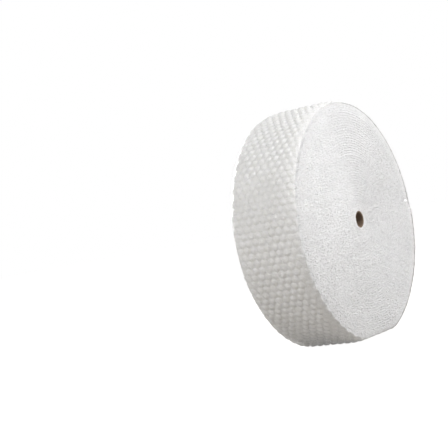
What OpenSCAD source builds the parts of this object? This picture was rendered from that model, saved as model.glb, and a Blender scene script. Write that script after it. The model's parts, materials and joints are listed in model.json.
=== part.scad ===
// A roll of cushioning film: one long web with a grid of air bubbles, wound into a tight
// spiral on a paperboard core. It stands on its rim with its axis along X. The origin is on
// the floor, in the middle of the flat spot that the soft roll has settled onto.

/* [Roll] */
// Width of the web, and so of the roll
web_w = 305; // [240:5:600]
// Thickness of one turn, with its bubbles nested in the turn below
turn_t = 10.5; // [8:0.5:14]
// Number of turns from the core to the tail
turns = 44; // [24:1:50]
// Height that the outside turn has sunk at the flat spot
settle = 18; // [8:1:30]

/* [Rim] */
// How far the soft shoulder of the ends reaches in from the rim
shoulder_r = 50; // [20:1:70]
// How far the outside turns draw back from the ends at the shoulder
shoulder_w = 14; // [6:1:20]
// Bevel on the edge of the outside turn
rim_bevel = 4; // [2:0.5:6]

/* [Turn edges] */
// Depth of the groove between two turns, seen on the ends
groove_depth = 4; // [1:0.5:8]
// Width of that groove
groove_w = 3; // [1:0.5:5]

/* [Bubbles] */
// Distance between neighbouring bubbles
bubble_pitch = 32; // [30:1:40]
// Diameter of a bubble
bubble_d = 26; // [18:1:26]
// Height of a bubble above the film
bubble_h = 6; // [4:0.5:11]

/* [Core] */
// Inside diameter of the paperboard tube
core_bore_d = 60; // [50:1:90]
// Wall of the tube
core_wall = 5; // [3:0.5:8]
// How far the tube's ends lie inside the ends of the roll
core_inset = 3; // [0:0.5:8]

/* [Hidden] */
$fn = 96;
// Overlap that lets a cutting solid run past what it cuts
past = 1;
core_r = core_bore_d / 2 + core_wall;
// The film's radius on the upper half, and on the lower half, which is half a turn further out
roll_r = core_r + turns * turn_t;
half_step = turn_t / 2;
lower_r = roll_r + half_step;
axis_z = lower_r - settle;
// A column of bubbles takes this much of the web's length, in a close packed grid
column_run = bubble_pitch * sin(60);
// Columns of bubbles on each half turn
columns = round(PI * roll_r / column_run);
// Bubbles on each side of a column's middle one
rows = floor((web_w / 2 - shoulder_w - bubble_d / 2) / bubble_pitch + 0.1);

// Half the width of the roll at radius r, where the outside turn lies at radius outer
function half_width(r, outer) =
    let (into = max(0, r - outer + shoulder_r) / shoulder_r)
    web_w / 2 - shoulder_w * (1 - sqrt(1 - into * into));

// The edges of the wound turns on one end, each with its groove, from radius start outwards
function turn_edges(start, outer) = [
    for (k = [0 : turns - 1])
    let (r = start + k * turn_t, edge = half_width(r + turn_t / 2, outer))
    each [
        [r, edge - groove_depth],
        [r + groove_w, edge - groove_depth],
        [r + groove_w, edge],
        [r + turn_t - (k == turns - 1 ? rim_bevel : 0), edge]
    ]
];

// The section of the wound turns on one side of the axis, with a bevel that runs out past the rim
module turns_section(start, outer) {
    rim = half_width(outer - turn_t / 2, outer);
    end = concat(
        [[0, web_w / 2 - groove_depth]],
        turn_edges(start, outer),
        [[outer + rim_bevel, rim - 2 * rim_bevel]]
    );
    other_end = [for (i = [len(end) - 1 : -1 : 0]) [end[i][0], -end[i][1]]];
    polygon(concat(end, other_end));
}

// Half of a many sided disc, with one flat under each column of bubbles
module faceted_half(apothem) {
    corner_r = apothem / cos(90 / columns);
    linear_extrude(height = web_w + 2 * past, center = true)
        polygon([for (i = [0 : columns]) corner_r * [cos(180 * i / columns), sin(180 * i / columns)]]);
}

// One column of bubbles across the web: short drums that stand on the film
module bubble_column(apothem, odd) {
    for (j = [-rows : rows - odd])
        translate([apothem - past, 0, (j + odd / 2) * bubble_pitch])
            rotate([0, 90, 0])
                cylinder(h = bubble_h + past, d = bubble_d);
}

// The bubbles on half a turn, every other column set off by half a pitch
module bubbles(apothem, first) {
    for (i = [0 : columns - 1])
        rotate([0, 0, 180 * (i + 0.5) / columns])
            bubble_column(apothem, (first + i) % 2);
}

// Half of the spiral, turned about Z from the radius start out to the film at outer
module half_spiral(start, outer, first) {
    intersection() {
        rotate_extrude(angle = 180) turns_section(start, outer);
        faceted_half(outer);
    }
    bubbles(outer, first);
}

// Lays the roll's axis from Z down along X, with its lower half centred over the origin
module on_axis() {
    translate([0, -half_step, axis_z])
        rotate([0, 90, 0])
            rotate([0, 0, 90])
                children();
}

// The wound film. Its two halves are turned about centres half a turn's thickness apart, so
// that each turn runs into the next and the last one ends in a tail behind the roll.
module film_web() {
    color([0.93, 0.93, 0.94])
        difference() {
            on_axis() {
                half_spiral(core_r, roll_r, 0);
                translate([half_step, 0, 0])
                    rotate([0, 0, 180])
                        half_spiral(core_r + half_step, lower_r, columns);
            }
            on_axis() cylinder(h = web_w + 2 * past, r = core_r, center = true);
            translate([-web_w, -2 * roll_r, -2 * roll_r])
                cube([2 * web_w, 4 * roll_r, 2 * roll_r]);
        }
}

// The paperboard tube that the film is wound on
module core_tube() {
    length = web_w - 2 * core_inset;
    color([0.62, 0.5, 0.38])
        on_axis()
            difference() {
                cylinder(h = length, r = core_r, center = true);
                cylinder(h = length + 2 * past, d = core_bore_d, center = true);
            }
}

film_web();
core_tube();
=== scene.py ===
"""A large roll of cushioning film on a paperboard core, dressed for rendering.

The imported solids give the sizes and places. The wound film is built here as three kinds of
mesh: the outside turn with its grid of bubbles, the edges of the turns on both ends, and the
tail behind the roll. The core tube gets wound plies and worn ends.
"""

from __future__ import annotations

import json
import logging
import math
from dataclasses import dataclass, field
from enum import Enum

import bpy
import numpy as np
from mathutils import Matrix, Vector


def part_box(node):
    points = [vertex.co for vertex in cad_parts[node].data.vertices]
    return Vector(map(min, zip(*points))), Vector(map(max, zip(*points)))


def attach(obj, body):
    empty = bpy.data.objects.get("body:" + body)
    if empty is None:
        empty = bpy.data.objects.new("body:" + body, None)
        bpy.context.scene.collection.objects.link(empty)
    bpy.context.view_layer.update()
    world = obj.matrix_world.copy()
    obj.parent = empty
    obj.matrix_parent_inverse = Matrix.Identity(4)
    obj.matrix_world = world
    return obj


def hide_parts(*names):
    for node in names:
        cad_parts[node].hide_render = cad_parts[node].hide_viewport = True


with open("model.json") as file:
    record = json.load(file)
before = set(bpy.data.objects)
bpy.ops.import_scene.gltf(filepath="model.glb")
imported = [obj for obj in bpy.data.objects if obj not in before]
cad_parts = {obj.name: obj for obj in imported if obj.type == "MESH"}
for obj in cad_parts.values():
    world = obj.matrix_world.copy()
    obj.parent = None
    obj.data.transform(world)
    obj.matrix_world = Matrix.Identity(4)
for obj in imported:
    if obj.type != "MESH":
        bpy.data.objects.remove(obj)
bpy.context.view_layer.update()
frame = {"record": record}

LOG = logging.getLogger("roll")
BODY = "root"
MM = 0.001
MICRONS = 1e6
Colour = tuple[float, float, float]


class End(Enum):
    """The two ends of the roll, by the direction in which they face along X."""

    NEAR = 1
    FAR = -1


class Signal:
    """A shader value that Python's operators turn into Math nodes."""

    def __init__(self, graph: Graph, socket: bpy.types.NodeSocket) -> None:
        """Wraps an output socket of a graph."""
        self.graph = graph
        self.socket = socket

    def _math(self, operation: str, first: object, second: object) -> Signal:
        """Adds one Math node.

        Args:
            operation: the Math node's operation.
            first: a number or a signal.
            second: a number or a signal.

        Returns:
            The node's result.
        """
        return self.graph.add("ShaderNodeMath", {"operation": operation}, {0: first, 1: second})

    def __add__(self, other: object) -> Signal:
        """Sum."""
        return self._math("ADD", self, other)

    def __radd__(self, other: object) -> Signal:
        """Reflected sum."""
        return self._math("ADD", other, self)

    def __sub__(self, other: object) -> Signal:
        """Difference."""
        return self._math("SUBTRACT", self, other)

    def __rsub__(self, other: object) -> Signal:
        """Reflected difference."""
        return self._math("SUBTRACT", other, self)

    def __mul__(self, other: object) -> Signal:
        """Product."""
        return self._math("MULTIPLY", self, other)

    def __rmul__(self, other: object) -> Signal:
        """Reflected product."""
        return self._math("MULTIPLY", other, self)

    def __truediv__(self, other: object) -> Signal:
        """Quotient."""
        return self._math("DIVIDE", self, other)

    def __rtruediv__(self, other: object) -> Signal:
        """Reflected quotient."""
        return self._math("DIVIDE", other, self)

    def __mod__(self, other: object) -> Signal:
        """Remainder, counted up from the value below."""
        return self._math("FLOORED_MODULO", self, other)

    def __rmod__(self, other: object) -> Signal:
        """Reflected remainder."""
        return self._math("FLOORED_MODULO", other, self)

    def above(self, other: object) -> Signal:
        """1 where this is greater than the other, else 0."""
        return self._math("GREATER_THAN", self, other)

    def maximum(self, other: object) -> Signal:
        """The greater of the two."""
        return self._math("MAXIMUM", self, other)

    def angle_to(self, other: object) -> Signal:
        """The angle whose tangent is this over the other."""
        return self._math("ARCTAN2", self, other)

    def beside(self, output: str) -> Signal:
        """Another output of the same node."""
        return Signal(self.graph, self.socket.node.outputs[output])


class Graph:
    """The node tree of one material or world."""

    def __init__(self, tree: bpy.types.NodeTree) -> None:
        """Starts an empty tree."""
        self.tree = tree
        tree.nodes.clear()

    def add(self, kind: str, settings: dict[str, object], inputs: dict[str | int, object],
            output: str | int = 0) -> Signal:
        """Adds a node.

        Args:
            kind: the node's type.
            settings: its properties, set first.
            inputs: values or signals for its sockets.
            output: the output to hand back.

        Returns:
            The chosen output as a signal.
        """
        node = self.tree.nodes.new(kind)
        for name, value in settings.items():
            setattr(node, name, value)
        for name, value in inputs.items():
            if isinstance(value, Signal):
                self.tree.links.new(value.socket, node.inputs[name])
            else:
                node.inputs[name].default_value = value
        return Signal(self, node.outputs[output]) if len(node.outputs) else Signal(self, None)

    def noise(self, where: Signal, scale: float, detail: float = 2.0, roughness: float = 0.5) -> Signal:
        """Cloudy noise from 0 to 1.

        Args:
            where: the coordinates.
            scale: repeats per metre.
            detail: finer layers of the noise.
            roughness: how strong those layers are.

        Returns:
            The noise's factor.
        """
        inputs = {"Vector": where, "Scale": scale, "Detail": detail, "Roughness": roughness}
        return self.add("ShaderNodeTexNoise", {}, inputs, "Fac")

    def dimples(self, where: Signal, scale: float) -> Signal:
        """Rounded pits at scattered places.

        Args:
            where: the coordinates.
            scale: pits per metre.

        Returns:
            Distance from the nearest pit, in pits.
        """
        inputs = {"Vector": where, "Scale": scale, "Smoothness": 0.35}
        return self.add("ShaderNodeTexVoronoi", {"feature": "SMOOTH_F1"}, inputs, "Distance")

    def blend(self, factor: object, first: object, second: object) -> Signal:
        """A colour between two colours.

        Args:
            factor: 0 for the first, 1 for the second.
            first: a colour or a signal.
            second: a colour or a signal.

        Returns:
            The mixed colour.
        """
        colours = [(*c, 1.0) if isinstance(c, tuple) else c for c in (first, second)]
        inputs = {0: factor, 6: colours[0], 7: colours[1]}
        return self.add("ShaderNodeMix", {"data_type": "RGBA", "clamp_factor": True}, inputs, 2)

    def bump(self, height: Signal, distance: float, strength: float, under: Signal | None = None) -> Signal:
        """A normal from a height.

        Args:
            height: the relief.
            distance: its depth in metres.
            strength: how much of it shows.
            under: a normal that this one is laid over.

        Returns:
            The bumped normal.
        """
        inputs = {"Height": height, "Distance": distance, "Strength": strength}
        if under is not None:
            inputs["Normal"] = under
        return self.add("ShaderNodeBump", {}, inputs)


def start_material(name: str) -> tuple[bpy.types.Material, Graph]:
    """Makes a material that has no nodes yet.

    Args:
        name: the material's name.

    Returns:
        The material and its graph.
    """
    material = bpy.data.materials.new(name)
    material.use_nodes = True
    return material, Graph(material.node_tree)


@dataclass(frozen=True)
class FilmFinish:
    """Milky, wrinkled polyethylene film with air behind it.

    Each scale is in repeats per metre, and each relief is a depth in metres.

    Attributes:
        name: the material's name.
        light: colour where the haze is strongest.
        shade: colour where it is weakest.
        wrinkle: how much of the folds and dimples shows.
        roughness: roughness of the film under its gloss.
        gloss: weight of the glossy coat.
        milk: share of the light that scatters inside the roll.
        depth: how far that light goes, in metres.
        cloud_share: share of the wide clouds in the haze, where the rest is fine grain.
        haze_start: haze at which the colour starts to lighten.
        haze_contrast: how fast it lightens from there.
        crinkle_matt: how much crinkles add to the roughness.
        cloud_shine: how much clouds take from it.
        fold_crinkle: share of the fine crinkle in the folds.
        crease_strength: how much of the creases shows in the coat.
    """

    name: str
    light: Colour
    shade: Colour
    wrinkle: float
    roughness: float
    gloss: float
    milk: float
    depth: float
    cloud_scale: float = 9.0
    grain_scale: float = 130.0
    crinkle_scale: float = 300.0
    dimple_scale: float = 150.0
    dimple_patch_scale: float = 45.0
    cloud_share: float = 0.45
    haze_start: float = 0.35
    haze_contrast: float = 3.0
    crinkle_matt: float = 0.22
    cloud_shine: float = 0.08
    fold_crinkle: float = 0.5
    fold_relief: float = 2.5 * MM
    dimple_relief: float = 9.0 * MM
    crease_relief: float = 1.6 * MM
    crease_strength: float = 1.0
    coat_roughness: float = 0.05
    refraction: float = 1.5

    def build(self) -> bpy.types.Material:
        """Makes the material.

        Returns:
            The film's material.
        """
        material, graph = start_material(self.name)
        where = graph.add("ShaderNodeTexCoord", {}, {}, "Object")
        cloud = graph.noise(where, self.cloud_scale, 3.0)
        grain = graph.noise(where, self.grain_scale, 3.0, 0.6)
        crinkle = graph.noise(where, self.crinkle_scale, 4.0, 0.65)
        patches = graph.noise(where, self.dimple_patch_scale, 1.0)
        haze = cloud * self.cloud_share + grain * (1.0 - self.cloud_share)
        factor = (haze - self.haze_start) * self.haze_contrast
        folds = graph.bump(grain + self.fold_crinkle * crinkle, self.fold_relief, self.wrinkle)
        dimples = graph.dimples(where, self.dimple_scale) * patches
        normal = graph.bump(dimples, self.dimple_relief, self.wrinkle, folds)
        shader = graph.add("ShaderNodeBsdfPrincipled", {"subsurface_method": "RANDOM_WALK"}, {
            "Base Color": graph.blend(factor, self.shade, self.light),
            "Roughness": self.roughness + self.crinkle_matt * crinkle - self.cloud_shine * cloud,
            "IOR": self.refraction,
            "Normal": normal,
            "Subsurface Weight": self.milk,
            "Subsurface Radius": (1.0, 1.0, 0.95),
            "Subsurface Scale": self.depth,
            "Coat Weight": self.gloss,
            "Coat Roughness": self.coat_roughness,
            "Coat Normal": graph.bump(crinkle, self.crease_relief, self.crease_strength, normal),
        })
        graph.add("ShaderNodeOutputMaterial", {}, {"Surface": shader})
        return material


@dataclass(frozen=True)
class BoardFinish:
    """Brown paperboard wound from plies, with butted seams and fibres.

    Each scale is in repeats per metre.

    Attributes:
        name: the material's name.
        light: colour of clean fibres.
        dark: colour of stains and seams.
        axis_y: place of the tube's axis along Y.
        axis_z: height of the tube's axis.
        seam_pitch: distance along the tube from one seam to the next, in metres.
        seam_start: share of that distance at which the seam starts.
        seam_strength: how dark the seams are.
        seam_depth: depth of the seams as a share of the relief.
        fibre_stretch: scale of the fibres along each axis, longest along the tube.
        fibre_share: how much the fibres lighten the board.
        stain_share: how much the stains lighten it.
        darkening: what both together are lowered by.
        roughness: least roughness, to which the fibres add fibre_matt.
        relief: depth of the fibres in metres.
        relief_strength: how much of that shows.
    """

    name: str
    light: Colour
    dark: Colour
    axis_y: float
    axis_z: float
    seam_pitch: float = 0.11
    seam_start: float = 0.975
    seam_strength: float = 0.6
    seam_depth: float = 0.8
    fibre_scale: float = 900.0
    fibre_stretch: tuple[float, float, float] = (0.35, 1.0, 1.0)
    fibre_share: float = 0.7
    stain_scale: float = 40.0
    stain_share: float = 0.5
    darkening: float = 0.1
    roughness: float = 0.82
    fibre_matt: float = 0.1
    relief: float = 0.5 * MM
    relief_strength: float = 0.5

    def build(self) -> bpy.types.Material:
        """Makes the material.

        Returns:
            The paperboard's material.
        """
        material, graph = start_material(self.name)
        where = graph.add("ShaderNodeTexCoord", {}, {}, "Object")
        x = graph.add("ShaderNodeSeparateXYZ", {}, {0: where}, "X")
        y = x.beside("Y") - self.axis_y
        z = x.beside("Z") - self.axis_z
        along = (x / self.seam_pitch + z.angle_to(y) / math.tau) % 1.0
        seam = along.above(self.seam_start)
        stretched = graph.add("ShaderNodeMapping", {}, {"Vector": where, "Scale": self.fibre_stretch})
        fibre = graph.noise(stretched, self.fibre_scale, 4.0, 0.7)
        stain = graph.noise(where, self.stain_scale, 2.0)
        factor = fibre * self.fibre_share + stain * self.stain_share - self.darkening
        plain = graph.blend(factor, self.dark, self.light)
        shader = graph.add("ShaderNodeBsdfPrincipled", {}, {
            "Base Color": graph.blend(seam * self.seam_strength, plain, self.dark),
            "Roughness": self.roughness + self.fibre_matt * fibre,
            "Normal": graph.bump(fibre - seam * self.seam_depth, self.relief, self.relief_strength),
        })
        graph.add("ShaderNodeOutputMaterial", {}, {"Surface": shader})
        return material


def make_mesh(name: str, points: np.ndarray, faces: list[list[int]],
              material: bpy.types.Material) -> bpy.types.Object:
    """Makes a smooth shaded mesh that rides on the roll.

    Args:
        name: the piece's name.
        points: its corners, in metres.
        faces: its faces, as lists of corners.
        material: its finish.

    Returns:
        The new object.
    """
    mesh = bpy.data.meshes.new(name)
    mesh.from_pydata(points.tolist(), [], faces)
    mesh.validate()
    mesh.polygons.foreach_set("use_smooth", [True] * len(mesh.polygons))
    mesh.materials.append(material)
    mesh.update()
    piece = bpy.data.objects.new(name, mesh)
    bpy.context.scene.collection.objects.link(piece)
    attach(piece, BODY)
    LOG.info("%s: %d points, %d faces", name, len(mesh.vertices), len(mesh.polygons))
    return piece


def strip_faces(stations: int, across: int) -> list[list[int]]:
    """Quads between stations that each have a row of points.

    Args:
        stations: rows along the strip.
        across: points in each row.

    Returns:
        The faces.
    """
    start = np.arange(stations - 1)[:, None] * across + np.arange(across - 1)[None, :]
    start = start.ravel()
    return np.stack([start, start + across, start + across + 1, start + 1], axis=1).tolist()


def waves(angle: np.ndarray, *parts: tuple[float, float, float | np.ndarray]) -> np.ndarray:
    """Adds up sine waves round the roll.

    Args:
        angle: angle round the axis.
        parts: the height of each wave, its number in a full turn and where it starts.

    Returns:
        The sum of the waves.
    """
    return sum(height * np.sin(count * angle + start) for height, count, start in parts)


@dataclass
class RollShape:
    """The wound roll's form: a spiral of turns on a core, settled onto a flat spot.

    Attributes:
        turn_t: thickness of one turn, with its bubbles nested in the turn below.
        turns: number of turns from the core to the tail.
        core_wall: wall of the paperboard tube.
        shoulder_r: how far the soft shoulder of the ends reaches in from the rim.
        shoulder_w: how far the outside turns draw back from the ends there.
        half_columns: columns of bubbles on each half turn of the outside.
        bubble_pitch: distance between neighbouring bubbles.
        drift_h: height of the waves that uneven winding leaves in the rim.
        drift_power: how fast those waves fade towards the core.
        squash_power: how fast the flat spot's dent fades towards the core.
        contact_soft: how softly the flat spot starts.
        contact_film: room for the squashed bubbles under the film.
        bore_r: radius of the core's bore.
        axis_y: place of the core's axis along Y.
        axis_z: height of the core's axis.
        half_w: half the width of the web.
    """

    turn_t: float = 10.5 * MM
    turns: int = 44
    core_wall: float = 5.0 * MM
    shoulder_r: float = 50.0 * MM
    shoulder_w: float = 14.0 * MM
    half_columns: int = 57
    bubble_pitch: float = 32.0 * MM
    drift_h: float = 0.6 * MM
    drift_power: int = 8
    squash_power: float = 5.0
    contact_soft: float = 2.5 * MM
    contact_film: float = 3.0 * MM
    bore_r: float = field(init=False)
    axis_y: float = field(init=False)
    axis_z: float = field(init=False)
    half_w: float = field(init=False)

    def __post_init__(self) -> None:
        """Reads the core's place and the web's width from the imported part."""
        bore = next(m for m in frame["record"]["mounts"] if m["name"] == "core_bore")
        self.bore_r = bore["dims"]["r_mm"] * MM
        self.axis_y, self.axis_z = bore["pos_m"][1:]
        low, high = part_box("film_web")
        self.half_w = (high[0] - low[0]) / 2

    @property
    def core_r(self) -> float:
        """Outside radius of the core, where the first turn starts."""
        return self.bore_r + self.core_wall

    @property
    def film_r(self) -> float:
        """Radius of the outside turn's film on the upper half."""
        return self.core_r + self.turns * self.turn_t

    @property
    def lower_r(self) -> float:
        """Radius of the outside turn's film on the lower half."""
        return self.film_r + self.turn_t / 2

    @property
    def column_run(self) -> float:
        """Length of web that a column of bubbles takes."""
        return self.bubble_pitch * math.sin(math.radians(60))

    def edge_x(self, radius: np.ndarray) -> np.ndarray:
        """Half the roll's width at a radius.

        Args:
            radius: distance from the axis, counted on the upper half.

        Returns:
            Distance of the turns' edges from the roll's middle.
        """
        into = np.clip((radius - self.film_r + self.shoulder_r) / self.shoulder_r, 0.0, 1.0)
        return self.half_w - self.shoulder_w * (1.0 - np.sqrt(1.0 - into * into))

    def _drift(self, x: np.ndarray, angle: np.ndarray, radius: np.ndarray) -> np.ndarray:
        """How far uneven winding moves the film in or out, which shows most at the rim.

        Args:
            x: place along the axis.
            angle: angle round the axis.
            radius: distance from the axis.

        Returns:
            The change of radius.
        """
        # The shorter wave starts this many radians later for each metre across the web
        skew = 21.0
        share = np.clip(radius / self.film_r, 0.0, 1.1)
        wave = waves(angle, (1.1, 3.0, 0.7), (0.8, 8.0, skew * x + 2.0))
        return self.drift_h * wave * share ** self.drift_power

    def _sunk(self, angle: np.ndarray) -> np.ndarray:
        """How far the floor pushes the outside turn in, with a soft start beside the flat spot.

        Args:
            angle: angle round the axis.

        Returns:
            The loss of radius on the lower half.
        """
        # The first limit keeps the floor's distance finite, and the second the exponential
        least_fall = 0.3
        safe_power = 40.0
        floor_r = (self.axis_z - self.contact_film) / np.maximum(-np.sin(angle), least_fall)
        over = np.clip((self.lower_r - floor_r) / self.contact_soft, -safe_power, safe_power)
        return self.contact_soft * np.log1p(np.exp(over))

    def place(self, x: np.ndarray, angle: np.ndarray, radius: np.ndarray,
              lower: np.ndarray) -> np.ndarray:
        """Puts points of the spiral where they lie on the settled roll.

        Args:
            x: place along the axis.
            angle: angle round the axis, from the back over the top.
            radius: distance from the axis, counted on the upper half.
            lower: where the point belongs to the lower half.

        Returns:
            The points, one to a row.
        """
        step = np.where(lower, self.turn_t / 2, 0.0)
        reach = radius + self._drift(x, angle, radius) + step
        share = np.clip(reach / self.lower_r, 0.0, 1.05)
        reach = reach - np.where(lower, self._sunk(angle), 0.0) * share ** self.squash_power
        y = self.axis_y + step + reach * np.cos(angle)
        z = self.axis_z + reach * np.sin(angle)
        return np.stack([x, y, np.maximum(z, 0.0)], axis=-1)


@dataclass
class OuterTurn:
    """The outside turn: film with a close packed grid of domed bubbles.

    Attributes:
        shape: the roll's form.
        finish: the film's material.
        bubble_r: radius of a bubble's foot.
        bubble_h: height of a full bubble.
        dome_power: how flat a bubble's crown is.
        dome_fill: how steep its side is, where less is steeper.
        rim_inset: how far the outside turn ends short of the web's edge.
        curl_w: width of the stretch that curls over the rim.
        curl_drop: how far it drops towards the axis.
        curl_steps: steps in which the curl's length is worked out.
        height_mean: mean height, as a share of a full bubble's, and so for the next four.
        height_spread: spread of the heights.
        height_range: least and greatest height.
        flat_height: what the flattened bubbles keep of their height.
        fade: what the bubbles at the rim lose of it.
        flat_share: share of the bubbles that are flattened.
        fade_start: distance from the middle at which the bubbles start to get lower.
        fade_run: distance over which they do.
        lean: spread of the slant of a bubble's crown.
        dent: spread of the dents in it.
        cut_share: how far past the edge a cut bubble's middle may lie, in pitches.
        segments: points round a bubble.
        rings: radius of each ring of points, as a share of bubble_r.
        seed: start of the random draws.
    """

    shape: RollShape
    finish: bpy.types.Material
    bubble_r: float = 14.0 * MM
    bubble_h: float = 5.4 * MM
    dome_power: float = 2.3
    dome_fill: float = 0.85
    rim_inset: float = 3.0 * MM
    curl_w: float = 52.0 * MM
    curl_drop: float = 10.0 * MM
    curl_steps: int = 91
    height_mean: float = 0.95
    height_spread: float = 0.09
    height_range: tuple[float, float] = (0.6, 1.1)
    flat_height: tuple[float, float] = (0.35, 0.6)
    fade: tuple[float, float] = (0.45, 0.8)
    flat_share: float = 0.05
    fade_start: float = 85.0 * MM
    fade_run: float = 60.0 * MM
    lean: float = 0.13
    dent: float = 0.05
    cut_share: float = 0.7
    segments: int = 18
    rings: tuple[float, ...] = (0.48, 0.8, 0.96, 1.04)
    seed: int = 11

    def _reach(self) -> float:
        """Half the width of the outside turn, which ends level with the turns under it."""
        return self.shape.half_w - self.rim_inset

    def _profile(self) -> np.ndarray:
        """Share of a bubble's height at its centre and each ring."""
        reach = np.clip(np.array([0.0, *self.rings]), 0.0, 1.0)
        return (1.0 - reach ** self.dome_power) ** self.dome_fill

    def _cell(self) -> tuple[np.ndarray, np.ndarray, np.ndarray]:
        """One six-sided cell of the grid, flat and centred.

        Returns:
            The points, the ring that each is on and the faces as quads, where a triangle's
            last corner is repeated.
        """
        sides = 6
        width = self.shape.bubble_pitch / math.sqrt(3)
        turns = [k * math.pi / 3 for k in range(sides + 1)]
        corners = [width * np.array([math.cos(turn), math.sin(turn)]) for turn in turns]
        steps = self.segments // sides
        pairs = zip(corners, corners[1:])
        edge = np.array([a + (b - a) * s / steps for a, b in pairs for s in range(steps)])
        turn = np.arctan2(edge[:, 1], edge[:, 0])
        spokes = np.stack([np.cos(turn), np.sin(turn)], axis=1)
        points = [np.zeros((1, 2))] + [spokes * ring * self.bubble_r for ring in self.rings] + [edge]
        level = np.concatenate([[0]] + [np.full(self.segments, i + 1) for i in range(len(self.rings) + 1)])
        here = np.arange(self.segments)
        following = (here + 1) % self.segments
        faces = [np.stack([np.zeros_like(here), 1 + here, 1 + following, 1 + following], axis=1)]
        for ring in range(len(self.rings)):
            inner, outer = 1 + ring * self.segments, 1 + (ring + 1) * self.segments
            quads = [inner + here, outer + here, outer + following, inner + following]
            faces.append(np.stack(quads, axis=1))
        return np.concatenate(points), level, np.concatenate(faces)

    def _centres(self) -> tuple[np.ndarray, np.ndarray]:
        """Lays out the bubbles of the outside turn, with the ones that the slit cuts.

        Returns:
            Each bubble's column and its place across the web.
        """
        pitch = self.shape.bubble_pitch
        rows = int(self.shape.half_w / pitch + self.cut_share)
        columns, across = [], []
        for column in range(2 * self.shape.half_columns):
            odd = column % 2
            for row in range(-rows, rows + 1 - odd):
                columns.append(column)
                across.append((row + odd / 2) * pitch)
        return np.array(columns), np.array(across)

    def _relief(self, local: np.ndarray, level: np.ndarray, across: np.ndarray) -> np.ndarray:
        """Height of every point of every cell above the film.

        Args:
            local: the points of one cell.
            level: the ring that each is on.
            across: each cell's place across the web.

        Returns:
            The heights, with a row for each cell.
        """
        draw = np.random.default_rng(self.seed)
        count = len(across)
        full = np.clip(draw.normal(self.height_mean, self.height_spread, count), *self.height_range)
        flat = draw.random(count) < self.flat_share
        full[flat] *= draw.uniform(*self.flat_height, flat.sum())
        rim = np.clip((np.abs(across) - self.fade_start) / self.fade_run, 0.0, 1.0)
        full *= 1.0 - rim * draw.uniform(*self.fade, count)
        lean = draw.normal(0.0, self.lean, (count, 2))
        tilt = 1.0 + (lean @ local.T) / self.bubble_r
        dent = draw.normal(0.0, self.dent, (count, len(level))) * (level <= 2)
        profile = np.append(self._profile(), 0.0)[level]
        return self.bubble_h * full[:, None] * profile[None, :] * (tilt + dent)

    def _curl(self, across: np.ndarray) -> tuple[np.ndarray, np.ndarray, np.ndarray]:
        """Rolls the film over the soft shoulder at the rim, a quarter of an ellipse.

        Args:
            across: distance from the web's middle, along the film.

        Returns:
            Distance from the middle along the axis, drop towards the axis, and how far the
            film's normal leans out.
        """
        turn = np.linspace(0.0, math.pi / 2, self.curl_steps)
        steps = np.hypot(self.curl_w * np.diff(np.sin(turn)), self.curl_drop * np.diff(np.cos(turn)))
        run = np.concatenate([[0.0], np.cumsum(steps)])
        start = self._reach() - run[-1]
        here = np.interp(across - start, run, turn)
        out = np.minimum(across, start) + self.curl_w * np.sin(here)
        lean = np.arctan2(self.curl_drop * np.sin(here), self.curl_w * np.cos(here))
        return out, self.curl_drop * (1.0 - np.cos(here)), lean

    def build(self) -> bpy.types.Object:
        """Makes the piece.

        Returns:
            The outside turn.
        """
        shape = self.shape
        local, level, cell_faces = self._cell()
        columns, across = self._centres()
        height = self._relief(local, level, across)
        along = (columns[:, None] + 0.5) * shape.column_run + local[None, :, 0]
        wide = np.clip(across[:, None] + local[None, :, 1], -self._reach(), self._reach())
        faces = (np.arange(len(columns))[:, None, None] * len(local) + cell_faces[None]).reshape(-1, 4)
        # Points where neighbouring cells meet become one
        key = np.round(np.stack([along.ravel(), wide.ravel()], axis=1) * MICRONS).astype(np.int64)
        _, first, index = np.unique(key, axis=0, return_index=True, return_inverse=True)
        faces = index.ravel()[faces]
        along, wide, height = (a.ravel()[first] for a in (along, wide, height))
        lower = np.repeat(columns >= shape.half_columns, len(local))[first]
        angle = np.minimum(along / shape.column_run * math.pi / shape.half_columns, math.tau)
        out, drop, lean = self._curl(np.abs(wide))
        x = np.sign(wide) * (out + height * np.sin(lean))
        points = shape.place(x, angle, shape.film_r - drop + height * np.cos(lean), lower)
        clean = [[c for i, c in enumerate(f) if c != f[i - 1]] for f in faces.tolist()]
        piece = make_mesh("outer_turn", points, [f for f in clean if len(set(f)) > 2], self.finish)
        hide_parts("film_web")
        return piece


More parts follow.
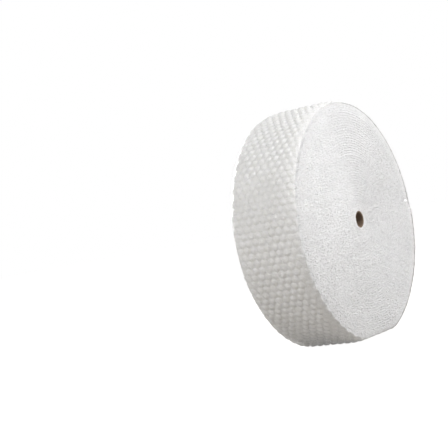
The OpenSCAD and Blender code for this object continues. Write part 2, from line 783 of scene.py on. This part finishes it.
@dataclass
class TurnEdges:
    """The slit edges of the turns on one end: backing film, cut bubbles and the gaps between.

    Depths count from the turn's edge into the roll, and offsets from the turn below outwards.

    Attributes:
        shape: the roll's form.
        finish: the edges' material.
        end: the end of the roll.
        step: length of web between two stations.
        inset: how far the edges lie inside the roll's width.
        gap_depth: depth of the gap between two turns, and gap_range its shares.
        backing_t: thickness of the backing film, and backing_depth its depth.
        bubble_depth: depth of the bubble film's edge.
        hollow_depth: depth of the hollow of a cut bubble, of which its foot has foot_hollow.
        foot: the bubble film's foot, as a share of the lip's offset and what is added to it.
        flank: the same for its flank.
        lip_least: offset of the lip between two bubbles.
        lip_rise: how much more it has over a bubble.
        lip_t: thickness of the film at the lip.
        lip_droop: how far the lip draws back between two bubbles.
        cut_size: least and greatest size of a cut bubble, as a share.
        cut_fill: how wide a cut bubble is, where 1 just meets the next.
        cut_power: how full its side is, where less is fuller.
        unevenness: spread of the lip's and the backing's place.
        back_rings: rings of points in the film behind the gaps.
        back_steps: points on each half of such a ring.
        back_gap: how far that film lies behind the gaps.
        seed: start of the random draws.
    """

    shape: RollShape
    finish: bpy.types.Material
    end: End
    step: float = 3.96 * MM
    inset: float = 1.2 * MM
    gap_depth: float = 2.6 * MM
    gap_range: tuple[float, float] = (0.5, 1.1)
    backing_t: float = 1.0 * MM
    backing_depth: float = 0.3 * MM
    bubble_depth: float = 0.6 * MM
    hollow_depth: float = 2.0 * MM
    foot_hollow: float = 0.6
    foot: tuple[float, float] = (0.35, 1.4 * MM)
    flank: tuple[float, float] = (0.75, 0.7 * MM)
    lip_least: float = 2.0 * MM
    lip_rise: float = 6.6 * MM
    lip_t: float = 0.8 * MM
    lip_droop: float = 0.9 * MM
    cut_size: tuple[float, float] = (0.72, 1.0)
    cut_fill: float = 1.35
    cut_power: float = 0.8
    unevenness: float = 0.6 * MM
    back_rings: int = 24
    back_steps: int = 97
    back_gap: float = 1.0 * MM
    seed: int = 5

    def _stations(self) -> tuple[np.ndarray, np.ndarray]:
        """Steps along the spiral from the core to the last turn but one.

        Returns:
            Length along the web and angle at each station.
        """
        shape = self.shape
        last = math.tau * (shape.turns - 1)
        length = shape.core_r * last + shape.turn_t * last ** 2 / (2 * math.tau)
        run = np.arange(0.0, length, self.step)
        rise = shape.turn_t / math.tau
        return run, (np.sqrt(shape.core_r ** 2 + 2 * rise * run) - shape.core_r) / rise

    def _lift(self, run: np.ndarray, draw: np.random.Generator) -> np.ndarray:
        """Raises the film over each cut bubble.

        Args:
            run: length along the web at each station.
            draw: the random draws.

        Returns:
            How far the bubble film stands off its backing there, from 0 to 1.
        """
        phase = run / self.shape.column_run
        wave = 0.5 - 0.5 * np.cos(math.tau * phase)
        size = draw.uniform(*self.cut_size, int(phase.max()) + 2)
        return np.clip(self.cut_fill * wave, 0.0, 1.0) ** self.cut_power * size[phase.astype(int)]

    @staticmethod
    def _wander(angle: np.ndarray) -> np.ndarray:
        """How far the edge of the web strays along the axis as it was wound."""
        return waves(angle, (0.22, 0.41, 1.0), (0.15, 1.13, 0.0), (0.15, 2.71, 0.4)) * MM

    def _section(self, lift: np.ndarray, draw: np.random.Generator) -> tuple[np.ndarray, np.ndarray]:
        """The slit edge's section at each station, from one turn to the next.

        Args:
            lift: how far the bubble film stands off its backing, from 0 to 1.
            draw: the random draws.

        Returns:
            Each point's offset from the turn below and its depth behind the edge.
        """
        uneven = draw.normal(0.0, self.unevenness, (len(lift), 3))
        gap = self.gap_depth * draw.uniform(*self.gap_range, len(lift))
        base = np.zeros_like(lift)
        lip = self.lip_least + self.lip_rise * lift + uneven[:, 0]
        hollow = self.hollow_depth * lift
        droop = self.lip_droop * (1 - lift)
        foot, flank = (share * lip + more for share, more in (self.foot, self.flank))
        # The gap, the backing, the cut bubble's foot, flank and lip, and the next gap
        section = [
            (base, gap),
            (base + self.backing_t, self.backing_depth + uneven[:, 1]),
            (foot, self.bubble_depth + self.foot_hollow * hollow),
            (flank, self.bubble_depth + hollow),
            (lip + self.lip_t, self.bubble_depth + droop + uneven[:, 2]),
            (base + self.shape.turn_t, gap),
        ]
        offsets, depths = zip(*section)
        return np.stack(offsets, axis=1), np.stack(depths, axis=1)

    def build(self) -> bpy.types.Object:
        """Makes the piece.

        Returns:
            The edges of all turns but the outside one, with the film behind them.
        """
        shape = self.shape
        draw = np.random.default_rng(self.seed + self.end.value)
        run, angle = self._stations()
        offsets, depths = self._section(self._lift(run, draw), draw)
        across = offsets.shape[1]
        around = angle % math.tau
        lower = around > math.pi
        inner = shape.core_r + np.floor(angle / math.tau) * shape.turn_t
        edge = shape.edge_x(inner + shape.turn_t / 2) + self._wander(angle) - self.inset
        x = self.end.value * np.minimum(edge[:, None] - depths, shape.half_w)
        around, lower = (np.repeat(a, across) for a in (around, lower))
        ribbon = shape.place(x.ravel(), around, (inner[:, None] + offsets).ravel(), lower)
        back_points, back_faces = self._backing(len(ribbon))
        points = np.concatenate([ribbon, back_points])
        faces = strip_faces(len(run), across) + back_faces
        if self.end is End.FAR:
            faces = [f[::-1] for f in faces]
        piece = make_mesh(f"turn_edges_{self.end.name.lower()}", points, faces, self.finish)
        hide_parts("film_web")
        return piece

    def _backing(self, first: int) -> tuple[np.ndarray, list[list[int]]]:
        """The film that closes the gaps between turns, deep behind their edges.

        Args:
            first: the number of points made before these.

        Returns:
            The points and faces.
        """
        shape = self.shape
        half = np.linspace(0.0, math.pi, self.back_steps)
        whole = np.concatenate([half, half + math.pi])
        angle, share = np.meshgrid(whole, np.linspace(0.0, 1.0, self.back_rings), indexing="ij")
        angle, share = angle.ravel(), share.ravel()
        lower = np.arange(len(angle)) >= len(half) * self.back_rings
        # Both halves start on one circle inside the tube's wall, though their centres differ,
        # and end under the outside turn
        inside = shape.core_r - 0.4 * shape.core_wall
        outside = shape.film_r - 0.9 * shape.turn_t
        off = shape.turn_t / 2
        under = np.sqrt(inside ** 2 - (off * np.sin(angle)) ** 2) - off * np.cos(angle) - off
        start = np.where(lower, under, inside)
        radius = start + share * (outside - start)
        x = self.end.value * (shape.edge_x(radius) - self.gap_depth - self.back_gap)
        points = shape.place(x, angle, radius, lower)
        strip = np.array(strip_faces(len(half), self.back_rings)) + first
        return points, np.concatenate([strip, strip + len(half) * self.back_rings]).tolist()


@dataclass
class TailEdge:
    """The cut end of the web, behind the roll, one turn above the film that it lies on.

    Attributes:
        shape: the roll's form.
        finish: the edge's material.
        inset: how far it ends short of the web's edges.
        depth: share of a turn's thickness that it covers.
        hollow: angle by which the cut bubbles sink in.
        across: points across the web.
        levels: points through its thickness.
    """

    shape: RollShape
    finish: bpy.types.Material
    inset: float = 6.0 * MM
    depth: float = 0.98
    hollow: float = 0.006
    across: int = 153
    levels: int = 5

    def build(self) -> bpy.types.Object:
        """Makes the piece.

        Returns:
            The tail's cut edge.
        """
        shape = self.shape
        reach = shape.half_w - self.inset
        row = np.linspace(-reach, reach, self.across)
        x, level = (a.ravel() for a in np.meshgrid(row, np.linspace(0.0, 1.0, self.levels), indexing="ij"))
        wave = 0.5 - 0.5 * np.cos(math.tau * x / shape.bubble_pitch)
        angle = math.tau - self.hollow * wave * np.sin(math.pi * level)
        radius = shape.film_r - shape.turn_t * level * self.depth
        points = shape.place(x, angle, radius, np.ones_like(x, bool))
        piece = make_mesh("tail_edge", points, strip_faces(self.across, self.levels), self.finish)
        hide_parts("film_web")
        return piece


@dataclass
class CoreTube:
    """The paperboard tube, with softened and slightly crushed ends.

    Attributes:
        shape: the roll's form.
        finish: the board's material.
        around: points round the tube.
        along: points along its bore.
        soft: radius of the worn corners.
        ply_gap: depth of the groove in each end where the plies part.
        plies: shares of the wall outside the groove's deepest line, and inside the groove.
        fray: how far the ends are worn back.
        bulges: slight waves round each end.
        seed: start of the random draws.
    """

    shape: RollShape
    finish: bpy.types.Material
    around: int = 120
    along: int = 24
    soft: float = 0.8 * MM
    ply_gap: float = 0.3 * MM
    plies: tuple[float, float] = (0.35, 0.3)
    fray: float = 0.5 * MM
    bulges: int = 5
    seed: int = 3

    def _section(self, half: float) -> tuple[np.ndarray, np.ndarray]:
        """The wall's section, round both ends and along both sides.

        Args:
            half: half the tube's length.

        Returns:
            The section's places along the axis and its radii.
        """
        outer, inner, soft = self.shape.core_r, self.shape.bore_r, self.soft
        wall = outer - inner
        groove_x = [half - self.ply_gap, half]
        groove_r = [outer - self.plies[0] * wall, inner + self.plies[1] * wall]
        arc = np.linspace(0.0, math.pi / 2, 4)
        rise, fall = soft * np.sin(arc), soft * np.cos(arc)
        end_x = np.concatenate([half - soft + rise, groove_x, half - soft + fall])
        end_r = np.concatenate([outer - soft + fall, groove_r, inner + soft - rise])
        side_x = np.linspace(half - soft, -half + soft, self.along)[1:-1]
        side = np.ones_like(side_x)
        ring_x = np.concatenate([end_x, side_x, -end_x[::-1], -side_x])
        return ring_x, np.concatenate([end_r, inner * side, end_r[::-1], outer * side])

    def build(self) -> bpy.types.Object:
        """Makes the piece.

        Returns:
            The core.
        """
        shape = self.shape
        low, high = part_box("core_tube")
        half = (high[0] - low[0]) / 2
        ring_x, ring_r = self._section(half)
        draw = np.random.default_rng(self.seed)
        angle = np.linspace(0.0, math.tau, self.around, endpoint=False)
        torn = self.fray * (waves(angle, (0.5, self.bulges, 0.0)) + draw.uniform(-0.5, 0.5, self.around))
        end_share = np.clip((np.abs(ring_x) - half + 2 * self.soft) / (2 * self.soft), 0.0, 1.0)
        worn = end_share[None, :] * (torn[:, None] * 0.5 + self.fray * 0.5)
        x = ring_x[None, :] - np.sign(ring_x)[None, :] * worn
        y = shape.axis_y + ring_r[None, :] * np.cos(angle)[:, None]
        z = shape.axis_z + ring_r[None, :] * np.sin(angle)[:, None]
        points = np.stack([x, y, z], axis=-1).reshape(-1, 3)
        count = len(ring_x)
        here, ring = np.meshgrid(np.arange(self.around), np.arange(count), indexing="ij")
        ahead, beside = (here + 1) % self.around, (ring + 1) % count
        faces = np.stack([here * count + ring, here * count + beside, ahead * count + beside,
                          ahead * count + ring], axis=-1).reshape(-1, 4)
        piece = make_mesh("core_plies", points, faces.tolist(), self.finish)
        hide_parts("core_tube")
        return piece


@dataclass(frozen=True)
class Lamp:
    """One soft round light, aimed at the roll.

    Attributes:
        name: what it is for.
        place: where it hangs, in metres.
        size: its diameter in metres.
        power: its power in watts.
    """

    name: str
    place: tuple[float, float, float]
    size: float
    power: float


@dataclass
class Studio:
    """The pale floor, the lights and the camera of the photograph.

    Attributes:
        shape: the roll's form.
        azimuth: the camera's angle round the roll, in degrees from -Y towards +X.
        elevation: its angle above the roll's axis, in degrees.
        lean: how far the roll leans in the photograph, in degrees, which rolls the camera.
        distance: from the camera to the roll's middle, in metres.
        focal_px: focal length in pixels of the photograph.
        frame_px: width of the photograph in pixels.
        roll_px: place of the roll's middle in it, in pixels.
        white: the plain background.
        glow_colour: colour of the light that comes from all round.
        glow: strength of that light.
        floor_half: half the floor's width, in metres.
        floor_colour: what the floor throws back of the lamps' light.
        floor_glow: how bright the floor looks without that light.
        lamps: the lights.
    """

    shape: RollShape
    azimuth: float = 29.5
    elevation: float = 1.0
    lean: float = 10.3
    distance: float = 4.8
    focal_px: float = 1143.0
    frame_px: float = 448.0
    roll_px: tuple[float, float] = (328.9, 224.4)
    white: tuple[float, ...] = (1.0, 1.0, 1.0, 1.0)
    glow_colour: tuple[float, ...] = (1.0, 0.995, 0.985, 1.0)
    glow: float = 0.28
    floor_half: float = 30.0
    floor_colour: tuple[float, ...] = (0.28, 0.26, 0.235, 1.0)
    floor_glow: float = 0.94
    lamps: tuple[Lamp, ...] = (
        Lamp("key", (2.1, 0.0, 1.85), 0.6, 51.0),
        Lamp("front", (-1.7, -4.0, 2.1), 0.7, 62.0),
        Lamp("above", (1.2, -3.6, 2.6), 1.0, 11.0),
        Lamp("low", (2.6, -2.5, 0.5), 0.8, 9.0),
        Lamp("side", (2.3, 3.1, 0.7), 0.22, 24.0),
        Lamp("back", (-3.5, 1.5, 1.5), 1.4, 90.0),
    )

    def build(self) -> None:
        """Makes the floor, the world, the lights and the camera."""
        bpy.context.scene.view_settings.view_transform = "Standard"
        self._camera()
        self._world()
        self._floor()
        for lamp in self.lamps:
            self._lamp(lamp)

    def _centre(self) -> Vector:
        """The middle of the roll."""
        return Vector((0.0, 0.0, self.shape.axis_z))

    def _camera(self) -> None:
        """Places the camera so that the roll lies where the photograph has it."""
        turn, tilt, tip = (math.radians(a) for a in (self.azimuth, self.elevation, self.lean))
        level = Vector((math.cos(turn), math.sin(turn), 0.0))
        flat = Vector((math.sin(turn), -math.cos(turn), 0.0))
        back = flat * math.cos(tilt) + Vector((0.0, 0.0, math.sin(tilt)))
        rise = back.cross(level)
        right = level * math.cos(tip) - rise * math.sin(tip)
        up = level * math.sin(tip) + rise * math.cos(tip)
        data = bpy.data.cameras.new("camera")
        data.lens = self.focal_px / self.frame_px * data.sensor_width
        camera = bpy.data.objects.new("camera", data)
        camera.location = self._centre() + back * self.distance
        metres = self.distance / self.focal_px
        aside = right * (self.roll_px[0] - self.frame_px / 2) * metres
        raised = up * (self.frame_px / 2 - self.roll_px[1]) * metres
        ahead = (self._centre() - aside - raised - camera.location).normalized()
        side = ahead.cross(up).normalized()
        camera.rotation_euler = Matrix((side, side.cross(ahead), -ahead)).transposed().to_euler()
        bpy.context.scene.collection.objects.link(camera)
        bpy.context.scene.camera = camera

    @staticmethod
    def _seen(graph: Graph) -> Signal:
        """1 on rays that show the background: camera, glossy and transmission rays."""
        camera = graph.add("ShaderNodeLightPath", {}, {}, "Is Camera Ray")
        return camera.maximum(camera.beside("Is Glossy Ray")).maximum(camera.beside("Is Transmission Ray"))

    def _world(self) -> None:
        """A plain grey surround that looks white behind the roll."""
        world = bpy.data.worlds.new("surround")
        bpy.context.scene.world = world
        world.use_nodes = True
        graph = Graph(world.node_tree)
        glow = graph.add("ShaderNodeBackground", {}, {"Color": self.glow_colour, "Strength": self.glow})
        plain = graph.add("ShaderNodeBackground", {}, {"Color": self.white, "Strength": 1.0})
        mixed = graph.add("ShaderNodeMixShader", {}, {0: self._seen(graph), 1: glow, 2: plain})
        graph.add("ShaderNodeOutputWorld", {}, {"Surface": mixed})

    def _floor(self) -> None:
        """A wide pale floor that keeps the roll's shadow."""
        half = self.floor_half
        corners = [(-half, -half, 0.0), (half, -half, 0.0), (half, half, 0.0), (-half, half, 0.0)]
        mesh = bpy.data.meshes.new("floor")
        mesh.from_pydata(corners, [], [(0, 1, 2, 3)])
        material, graph = start_material("pale_floor")
        shine = self._seen(graph) * self.floor_glow
        matt = graph.add("ShaderNodeBsdfDiffuse", {}, {"Color": self.floor_colour})
        glow = graph.add("ShaderNodeEmission", {}, {"Color": self.white, "Strength": shine})
        both = graph.add("ShaderNodeAddShader", {}, {0: matt, 1: glow})
        graph.add("ShaderNodeOutputMaterial", {}, {"Surface": both})
        mesh.materials.append(material)
        floor = bpy.data.objects.new("floor", mesh)
        bpy.context.scene.collection.objects.link(floor)

    def _lamp(self, lamp: Lamp) -> None:
        """Makes one area light.

        Args:
            lamp: its place, size and power.
        """
        data = bpy.data.lights.new(lamp.name, "AREA")
        data.shape = "DISK"
        data.size = lamp.size
        data.energy = lamp.power
        light = bpy.data.objects.new(lamp.name, data)
        bpy.context.scene.collection.objects.link(light)
        light.location = lamp.place
        aim = self._centre() - light.location
        light.rotation_euler = aim.to_track_quat("-Z", "Y").to_euler()


def main() -> None:
    """Builds the studio and every piece of the roll."""
    logging.basicConfig(level=logging.INFO, format="%(name)s: %(message)s")
    shape = RollShape()
    Studio(shape).build()
    outside = FilmFinish("milky_film", light=(0.925, 0.922, 0.913), shade=(0.83, 0.825, 0.812),
                         wrinkle=0.5, roughness=0.34, gloss=0.75, milk=0.95, depth=26.0 * MM).build()
    # The edges are a lighter copy of the same film: painted light that makes the end faces brighter than
    # the outside turn
    edges = FilmFinish("slit_film_edges", light=(0.955, 0.955, 0.953), shade=(0.865, 0.865, 0.863),
                       wrinkle=0.75, roughness=0.42, gloss=0.85, milk=0.6, depth=13.0 * MM).build()
    board = BoardFinish("wound_paperboard", light=(0.26, 0.185, 0.125), dark=(0.12, 0.085, 0.06),
                        axis_y=shape.axis_y, axis_z=shape.axis_z).build()
    OuterTurn(shape, outside).build()
    for end in End:
        TurnEdges(shape, edges, end).build()
    TailEdge(shape, edges).build()
    CoreTube(shape, board).build()


if __name__ == "__main__":
    main()
